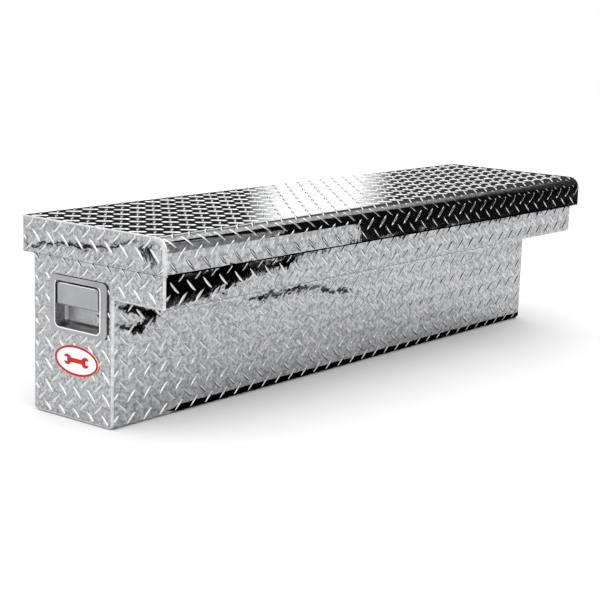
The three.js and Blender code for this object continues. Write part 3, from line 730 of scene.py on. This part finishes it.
def build_lid_end(rim, side, word):
    face = side * (LID_HALF - LUG_HEIGHT)
    shape = Shape()
    outline, _ = moved(rim, -LUG_HEIGHT - LID_ROUND)
    outline[0, 1] = outline[-1, 1] = LID_BOTTOM
    plate(shape, outline, face, side * (LID_HALF - SHEET - LID_END_LAP))

    def band(y):
        """Wide down the front corner, and a thin line along the top and down the back."""
        return float(np.interp(y - LID_FRONT, BAND_RUN, BAND_WIDTH))

    def inside(s, t):
        y = s * side
        front = LID_FRONT + LUG_HEIGHT + LID_ROUND + BAND_CLEAR
        nose = (y < LID_FRONT + NOSE_RADIUS) & (t > LID_TOP - NOSE_RADIUS)
        corner = np.hypot(y - LID_FRONT - NOSE_RADIUS, t - LID_TOP + NOSE_RADIUS)
        clear = (y > front) & (y < LID_BACK - LUG_HEIGHT - LID_ROUND - LUG_CLEAR)
        clear &= (t > LID_BOTTOM + LUG_CLEAR) & (t < LID_TOP - LUG_HEIGHT - LID_ROUND - LUG_CLEAR)
        return clear & ~(nose & (corner > NOSE_RADIUS - LUG_HEIGHT - LID_ROUND - BAND_CLEAR))

    def place(s, t, h):
        return np.column_stack([face + side * h, s * side, t])

    origin = end_origin(LID_END_LUG, side)
    centres, slants = pattern((LID_FRONT, LID_BACK), (LID_BOTTOM, LID_TOP), origin, END_PITCH)
    lugs(shape, centres, slants, place, inside, LID_END_SEED + side)
    shape.make("lid_end_plate_" + word, "lid", "tread_plate", TREAD, ["lid_end_" + word])
    bead = Shape()
    ground_corner(bead, rim, face, LUG_HEIGHT, LID_ROUND, LID_BEAD_SEED + side, band)
    bead.make("lid_corner_" + word, "lid", "tread_plate", [GROUND])


# ---- Body ----------------------------------------------------------------------------------------
RIM_CLEAR = 6 * MM  # the lugs stop this far below the rim
LEAF_CLEAR = 2 * MM  # and this far above and below the hinge leaf
TUB_PHASE, TUB_ROW = 0.800, 102.5 * MM  # a lug on the tub's front: pitches right of the middle, and z
WING_PHASE, WING_ROW = 0.224, 216.8 * MM  # and one on the wing's face
BODY_END_LUG = (9.0 * MM, 115.0 * MM)  # y and z of a lug on each end
END_SPAN = 0.16  # more than half of the box's depth
HOLE_ROOM = (13 * MM, 6.5 * MM)  # the latch bezel covers the hole's edge by this much, in y and in z
HOLE_CORNER = 9 * MM
TUB_SEED, WING_SEED, BODY_END_SEED, BODY_BEAD_SEED = 41, 42, 51, 61


def build_body():
    path = body_path()
    half = BODY_HALF - CORNER_ROUND
    top_back, top_front = (distance_to(path, y, RIM_TOP - RIM_CLEAR) for y in (BODY_BACK, BODY_FRONT))
    leaf_top = distance_to(path, BODY_BACK, LEAF_HIGH.z + LEAF_CLEAR)
    leaf_bottom = distance_to(path, BODY_BACK, LEAF_LOW.z - LEAF_CLEAR)
    nook = distance_to(path, TUB_FRONT, WING_BOTTOM)
    shape = Shape()
    sheet(shape, path, 0, SHEET, half)

    def tread(origin, first, last, seed):
        def inside(s, t):
            leaf_band = (t > leaf_top) & (t < leaf_bottom)
            return (np.abs(s) < half - SHEET_CLEAR) & (t > first) & (t < last) & ~leaf_band

        centres, slants = pattern((-half, half), (first, last), origin, (PITCH, PITCH))
        lugs(shape, centres, slants, on_sheet(path, half), inside, seed)

    tub = (TUB_PHASE * PITCH - PITCH / 2, distance_to(path, TUB_FRONT, TUB_ROW) - PITCH / 2)
    wing = (WING_PHASE * PITCH, distance_to(path, BODY_FRONT, WING_ROW))
    tread(tub, top_back, nook, TUB_SEED)
    tread(wing, nook, top_front, WING_SEED)
    shape.make("body_sheet", "box", "tread_plate", TREAD, ["body_wrap"])
    for side, word in SIDES:
        build_end(path, side, word)


def build_end(path, side, word):
    face = side * BODY_HALF
    outline, _ = moved(path, -CORNER_ROUND)
    keep = [i for i in range(len(outline)) if outline[i][1] < RIM_TOP - CORNER_ROUND + 0.1 * MM]
    outline = outline[keep[0]:keep[-1] + 1]
    shape = Shape()
    hole = None
    if side < 0:
        low = (LATCH_LOW.y + HOLE_ROOM[0], LATCH_LOW.z + HOLE_ROOM[1])
        high = (LATCH_HIGH.y - HOLE_ROOM[0], LATCH_HIGH.z - HOLE_ROOM[1])
        hole = rounded_rectangle(low, high, HOLE_CORNER, 6)
    plate(shape, clean_loop(outline), face, side * (BODY_HALF - SHEET), hole)
    edge = CORNER_ROUND + LUG_CLEAR

    def inside(s, t):
        y = s * side
        wing = (y > BODY_FRONT + edge) & (t > WING_BOTTOM + edge)
        tub = (y > TUB_FRONT + edge) & (t > LUG_HEIGHT + edge)
        clear = (wing | tub) & (y < BODY_BACK - edge) & (t < RIM_TOP - edge)
        foot = (t < BASE_BEND + LUG_HEIGHT) & ((y < TUB_FRONT + BASE_BEND) | (y > BODY_BACK - BASE_BEND))
        if side < 0:
            latch = (y > LATCH_LOW.y + PRESS) & (y < LATCH_HIGH.y - PRESS)
            latch &= (t > LATCH_LOW.z + PRESS) & (t < LATCH_HIGH.z - PRESS)
            middle = ((BADGE_LOW.y + BADGE_HIGH.y) / 2, (BADGE_LOW.z + BADGE_HIGH.z) / 2)
            wide = (BADGE_HIGH.y - BADGE_LOW.y) / 2 - PRESS
            tall = (BADGE_HIGH.z - BADGE_LOW.z) / 2 - PRESS
            badge = np.hypot((y - middle[0]) / wide, (t - middle[1]) / tall) < 1
            clear &= ~latch & ~badge
        return clear & ~foot

    def place(s, t, h):
        return np.column_stack([face + side * h, s * side, t])

    origin = end_origin(BODY_END_LUG, side)
    centres, slants = pattern((-END_SPAN, END_SPAN), (0, RIM_TOP), origin, END_PITCH)
    lugs(shape, centres, slants, place, inside, BODY_END_SEED + side)
    shape.make("end_plate_" + word, "box", "tread_plate", TREAD, ["end_panel_" + word])
    bead = Shape()
    ground_corner(bead, path, face, 0, CORNER_ROUND, BODY_BEAD_SEED + side)
    bead.make("body_corner_" + word, "box", "tread_plate", [GROUND])


# ---- Rivets --------------------------------------------------------------------------------------
RIVETS = 16
RIVET_PITCH = 76 * MM


def build_rivets():
    """Two rows of rivets along the hinge: one on the leaf on the box, one through the lid's back."""
    plain = SLOT_MATERIALS["plain_aluminium"]
    body, lid = Shape(), Shape()
    for i in range(RIVETS):
        x = (i - (RIVETS - 1) / 2) * RIVET_PITCH
        dome(body, (x, LEAF_HIGH.y - 6.1 * MM, LEAF_LOW.z + 13 * MM), 4.2 * MM, 1.4 * MM)
        dome(lid, (x, LID_BACK - LUG_HEIGHT - 0.1 * MM, LID_BOTTOM + 22 * MM), 4.6 * MM, LUG_HEIGHT)
    body.make("hinge_rivets_body", "box", "plain_aluminium", [plain])
    lid.make("hinge_rivets_lid", "lid", "plain_aluminium", [plain])


# ---- Latch ---------------------------------------------------------------------------------------
POCKET_WIDTH, POCKET_HEIGHT = 100.6 * MM, 75.6 * MM
POCKET_CORNER = 9.3 * MM
POCKET_STEPS = 8
POCKET_BEAD = 1.15 * MM
PADDLE_BEAD = 1.1 * MM
PADDLE_BEAD_INSET = 6 * MM


def build_pocket_edge(highlight):
    """The rolled edge round the pocket's sides and bottom, from half way round each top corner, in a
    near-white finish that paints a highlight line.
    """
    x = LATCH_LOW.x + 0.9 * MM
    y, z = (LATCH_LOW.y + LATCH_HIGH.y) / 2, (LATCH_LOW.z + LATCH_HIGH.z) / 2
    low = (y - POCKET_WIDTH / 2, z - POCKET_HEIGHT / 2)
    high = (y + POCKET_WIDTH / 2, z + POCKET_HEIGHT / 2)
    loop = rounded_rectangle(low, high, POCKET_CORNER, POCKET_STEPS)
    half_corner = POCKET_STEPS // 2
    start, stop = len(loop) // 4 + half_corner, len(loop) + half_corner + 1
    open_side = [loop[i % len(loop)] for i in range(start, stop)]
    ring = Shape()
    tube(ring, [(x, py, pz) for py, pz in open_side], POCKET_BEAD)
    ring.make("latch_pocket_edge", "box", "stainless", [highlight])


def build_paddle_edge(highlight):
    """The rolled edge along the top of the paddle, in a near-white finish that paints a highlight line."""
    low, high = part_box("latch_paddle")
    x, z = low.x + 1.0 * MM, high.z - 1.2 * MM
    bar = Shape()
    tube(bar, [(x, low.y + PADDLE_BEAD_INSET, z), (x, high.y - PADDLE_BEAD_INSET, z)], PADDLE_BEAD)
    bar.make("latch_paddle_edge", "paddle", "stainless", [highlight])


# ---- Stage, light and camera ---------------------------------------------------------------------
CAMERA_PLACE = Vector((-2.1347, -1.6180, 0.6517))
CAMERA_TURN, CAMERA_DOWN, CAMERA_ROLL = 51.447, 11.352, 1.778  # degrees
CAMERA_LENS, CAMERA_SENSOR = 89.5, 36  # in millimetres, as Blender takes them
FLOOR_RADIUS = 9.0
FLOOR_SIDES = 64


def build_camera():
    turn, down, roll = (math.radians(a) for a in (CAMERA_TURN, CAMERA_DOWN, CAMERA_ROLL))
    forward = Vector((math.sin(turn) * math.cos(down), math.cos(turn) * math.cos(down), -math.sin(down)))
    level = forward.cross(Vector((0, 0, 1))).normalized()
    upright = level.cross(forward)
    right = level * math.cos(roll) + upright * math.sin(roll)
    up = upright * math.cos(roll) - level * math.sin(roll)
    turned = Matrix((right, up, -forward)).transposed().to_4x4()
    camera = bpy.data.objects.new("camera", bpy.data.cameras.new("camera"))
    camera.matrix_world = Matrix.Translation(CAMERA_PLACE) @ turned
    camera.data.lens = CAMERA_LENS
    camera.data.sensor_width = CAMERA_SENSOR
    bpy.context.scene.collection.objects.link(camera)
    bpy.context.scene.camera = camera


def build_floor():
    turns = [2 * math.pi * k / FLOOR_SIDES for k in range(FLOOR_SIDES)]
    ring = [(FLOOR_RADIUS * math.cos(turn), FLOOR_RADIUS * math.sin(turn), 0) for turn in turns]
    mesh = bpy.data.meshes.new("floor")
    mesh.from_pydata(ring, [], [tuple(range(FLOOR_SIDES))])
    f = Finish("floor_paper", (0.78, 0.78, 0.78), 0, 0.9)
    f.colours(f.noise(3, detail=2), (0.77, 0.77, 0.77), (0.79, 0.79, 0.79))
    f.shader.inputs["Specular IOR Level"].default_value = 0.1
    mesh.materials.append(f.material)
    floor = bpy.data.objects.new("floor", mesh)
    bpy.context.scene.collection.objects.link(floor)


FLAG_FRONT = -0.62  # y of the cards before the wing and the nose
TUB_FLAG_FRONT = -0.42  # y of the cards before the tub
END_FLAG_SIDE = -1.0  # x of the cards beside the left end
FLAG_LIFT = 0.4 * MM  # of the cards on the floor
WING_FLAG_TOP = 0.1285
NOSE_FLAG_FOOT = 0.1265


def flag(name, corners, shade=0.0):
    """A studio flag, black or a grey: it is only seen in the metal's reflections."""
    mesh = bpy.data.meshes.new(name)
    mesh.from_pydata(corners, [], [tuple(range(len(corners)))])
    f = Finish(name, (shade, shade, shade), 0, 1.0)
    f.shader.inputs["Specular IOR Level"].default_value = 0
    mesh.materials.append(f.material)
    made = bpy.data.objects.new(name, mesh)
    made.visible_camera = False
    made.visible_diffuse = False
    made.visible_shadow = False
    bpy.context.scene.collection.objects.link(made)


def upright_flag(name, y, outline, shade=0.0):
    flag(name, [(x, y, z) for x, z in outline], shade)


def side_flag(name, x, outline):
    flag(name, [(x, y, z) for y, z in outline])


def floor_flag(name, outline):
    flag(name, [(x, y, FLAG_LIFT) for x, y in outline])


def strip(line, thickness):
    """The outline of a strip of card along a line of points, narrower at its two ends."""
    halves = [thickness / 5] + [thickness / 2] * (len(line) - 2) + [thickness / 5]
    over = [(u, z + half) for (u, z), half in zip(line, halves)]
    under = [(u, z - half) for (u, z), half in zip(line, halves)]
    return over + under[::-1]


def build_front_flags():
    """Cards before the box: the black patches on its wing and its nose, and the grey on the nose's left."""
    upright_flag("wing_flag", FLAG_FRONT, [
        (-0.16, 0.05), (-0.02, 0.07), (0.04, 0.08), (0.12, 0.095), (0.28, 0.11), (0.41, WING_FLAG_TOP),
        (-0.16, WING_FLAG_TOP),
    ])
    for i in range(4):
        x, z, wide = 0.02 + 0.045 * i, 0.066 + 0.005 * i, 0.012 - 0.002 * i
        upright_flag("wing_spot_flag_%d" % i, FLAG_FRONT, [
            (x - wide, z + wide / 2), (x + wide, z + wide / 2), (x, z - wide / 2),
        ])
    upright_flag("nose_flag", FLAG_FRONT, [
        (0.16, 0.18), (0.46, 0.18), (0.47, NOSE_FLAG_FOOT), (1.50, NOSE_FLAG_FOOT), (1.50, 2.20),
        (0.70, 2.20), (0.34, 0.80),
    ], 0.01)
    upright_flag("nose_flag_grey", FLAG_FRONT, [
        (-0.40, 0.20), (0.15, 0.18), (0.33, 0.80), (-0.40, 0.60),
    ], 0.45)


def build_tub_flags():
    """Cards that show on the tub: two dark curls at its left, a floor card of painted contact shade that
    blackens its bottom bend, and a thin line.
    """
    upright_flag("tub_flag_high", TUB_FLAG_FRONT, strip([
        (-0.22, 0.08), (-0.18, 0.075), (-0.14, 0.06), (-0.10, 0.055),
    ], 0.02))
    upright_flag("tub_flag_low", TUB_FLAG_FRONT, strip([
        (-0.22, 0.045), (-0.17, 0.03), (-0.14, 0.04), (-0.10, 0.05),
    ], 0.02))
    # Painted shade: a black card on the floor along the tub's foot stands in for the contact shadow there,
    # seen in the bottom bend.
    near, far = TUB_FRONT + 0.03, TUB_FRONT - 0.034
    floor_flag("contact_shade_flag", [(-0.47, far + 0.025), (-0.42, far), (0.74, far), (0.74, near), (-0.44, near)])
    floor_flag("line_flag", [
        (0.34, -0.588), (0.52, -0.572), (0.605, -0.490), (0.57, -0.450), (0.49, -0.527), (0.34, -0.538),
    ])


def build_gap_shade_flags():
    """Cards just under the lid's edge, for the dark line between lid and box: painted shade standing in for
    the shadowed gap there.
    """
    # Painted shade: a black card under the lid's front hem, seen only in reflections, stands in for the shadow
    # in the gap.
    edge, reach = LID_BOTTOM - 2.4 * MM, LID_FRONT - 0.02
    flag("gap_shade_flag_front", [
        (-LID_HALF, BODY_FRONT, edge), (LID_HALF, BODY_FRONT, edge),
        (LID_HALF, reach, edge), (-LID_HALF, reach, edge),
    ])
    # Painted shade: dark grey cards under the lid's end edges stand in for the shadow in the gap there.
    edge, reach = LID_BOTTOM - 1.3 * MM, LID_HALF + 0.006
    for side, word in SIDES:
        flag("gap_shade_flag_" + word, [
            (side * BODY_HALF, LID_FRONT, edge), (side * BODY_HALF, LID_BACK, edge),
            (side * reach, LID_BACK, edge), (side * reach, LID_FRONT, edge),
        ], 0.04)


def build_end_flags():
    """Cards beside the left end: the dark line along the lid's end, and the mark in its front corner."""
    side_flag("end_line_flag", END_FLAG_SIDE, strip([
        (0.61, 0.167), (0.58, 0.165), (0.55, 0.177), (0.46, 0.182), (0.38, 0.19), (0.34, 0.20), (0.28, 0.213),
    ], 0.008))
    side_flag("end_corner_flag", END_FLAG_SIDE, [
        (0.25, 0.217), (0.265, 0.20), (0.245, 0.18), (0.25, 0.16), (0.262, 0.178), (0.29, 0.195),
    ])


# The studio in reflections, as (place, brightness) stops. A turn is 0.5 toward +y and 0.75 toward +x; a
# height is 0 straight down, 0.5 at the horizon and 1 straight up.
WALL_BY_TURN = [
    (0.0, 0.6), (0.28, 0.8), (0.32, 0.7), (0.40, 0.25), (0.56, 0.12), (0.60, 0.01),
    (0.6383, 0.01), (0.6393, 0.5), (0.6500, 0.5), (0.6520, 0.02), (0.74, 0.01), (0.80, 0.01),
    (0.850, 0.01), (0.862, 0.10), (0.875, 0.16), (0.92, 0.7),
]
UPPER_BY_TURN = [
    (0.0, 0.5), (0.28, 0.6), (0.40, 0.45), (0.6500, 0.45), (0.6550, 0.04), (0.74, 0.02),
    (0.845, 0.02), (0.862, 0.25), (0.875, 0.42), (0.94, 0.5),
]
SKY_BY_HEIGHT = [(0.0, 0.35), (0.5, 0.38), (0.62, 0.45), (0.72, 0.52), (1.0, 0.55)]
HORIZON_SHADE = [(0.49, 1.0), (0.50, 0.1), (0.537, 0.1), (0.550, 1.0)]
UPPER_SHARE = [(0.0, 1.0), (0.74, 1.0), (0.83, 0.3), (0.87, 0.0)]
WALL_SHARE = [(0.0, 1.0), (0.60, 1.0), (0.63, 0.0), (1.0, 0.0)]
STUDIO_STRENGTH = 3.0


def build_world():
    """Plain white to the camera; in reflections a wall with dark stretches, an upper wall and a sky."""
    world = bpy.data.worlds.new("studio")
    world.use_nodes = True
    bpy.context.scene.world = world
    nodes, links = world.node_tree.nodes, world.node_tree.links
    nodes.clear()

    def math_node(operation, a, b=None):
        node = nodes.new("ShaderNodeMath")
        node.operation = operation
        for socket, value in zip(node.inputs, (a, b)):
            if isinstance(value, (int, float)):
                socket.default_value = value
            elif value is not None:
                links.new(value, socket)
        return node.outputs[0]

    def ramp(value, stops):
        node = nodes.new("ShaderNodeValToRGB")
        elements = node.color_ramp.elements
        while len(elements) < len(stops):
            elements.new(0.5)
        for element, (position, shade) in zip(elements, stops):
            element.position = position
            element.color = (shade, shade, shade, 1)
        links.new(value, node.inputs["Fac"])
        return node.outputs["Color"]

    def mixed(blend, factor, a, b):
        node = nodes.new("ShaderNodeMix")
        node.data_type = "RGBA"
        node.blend_type = blend
        if isinstance(factor, float):
            node.inputs["Factor"].default_value = factor
        else:
            links.new(factor, node.inputs["Factor"])
        links.new(a, node.inputs[6])
        links.new(b, node.inputs[7])
        return node.outputs[2]

    direction = nodes.new("ShaderNodeTexCoord").outputs["Generated"]
    split = nodes.new("ShaderNodeSeparateXYZ")
    links.new(direction, split.inputs[0])
    x, y, z = split.outputs
    turn = math_node("ADD", math_node("DIVIDE", math_node("ARCTAN2", x, y), 2 * math.pi), 0.5)
    height = math_node("ADD", math_node("MULTIPLY", z, 0.5), 0.5)
    wall = mixed("MULTIPLY", 1.0, ramp(turn, WALL_BY_TURN), ramp(height, HORIZON_SHADE))
    sky = mixed("MIX", ramp(height, UPPER_SHARE), ramp(height, SKY_BY_HEIGHT), ramp(turn, UPPER_BY_TURN))
    reflected = mixed("MIX", ramp(height, WALL_SHARE), sky, wall)
    studio = nodes.new("ShaderNodeBackground")
    studio.inputs["Strength"].default_value = STUDIO_STRENGTH
    links.new(reflected, studio.inputs["Color"])
    white = nodes.new("ShaderNodeBackground")
    white.inputs["Color"].default_value = (1, 1, 1, 1)
    white.inputs["Strength"].default_value = 1.0
    seen = nodes.new("ShaderNodeLightPath").outputs["Is Camera Ray"]
    chosen = nodes.new("ShaderNodeMixShader")
    links.new(seen, chosen.inputs[0])
    links.new(studio.outputs[0], chosen.inputs[1])
    links.new(white.outputs[0], chosen.inputs[2])
    output = nodes.new("ShaderNodeOutputWorld")
    links.new(chosen.outputs[0], output.inputs["Surface"])


def build_light():
    light = bpy.data.lights.new("softbox", "AREA")
    light.shape = "RECTANGLE"
    light.size = 2.4
    light.size_y = 1.6
    light.energy = 12
    made = bpy.data.objects.new("softbox", light)
    made.location = (-0.6, -0.8, 2.3)
    made.rotation_euler = (math.radians(18), math.radians(-14), 0)
    bpy.context.scene.collection.objects.link(made)


dress_cad_nodes()
build_lid()
build_body()
build_rivets()
# Painted highlight: the near-white finish of the latch's rolled edges.
EDGE_HIGHLIGHT = highlight_edge()
build_pocket_edge(EDGE_HIGHLIGHT)
build_paddle_edge(EDGE_HIGHLIGHT)
build_floor()
build_front_flags()
build_tub_flags()
build_gap_shade_flags()
build_end_flags()
build_world()
build_light()
build_camera()
bpy.context.scene.view_settings.view_transform = "Standard"
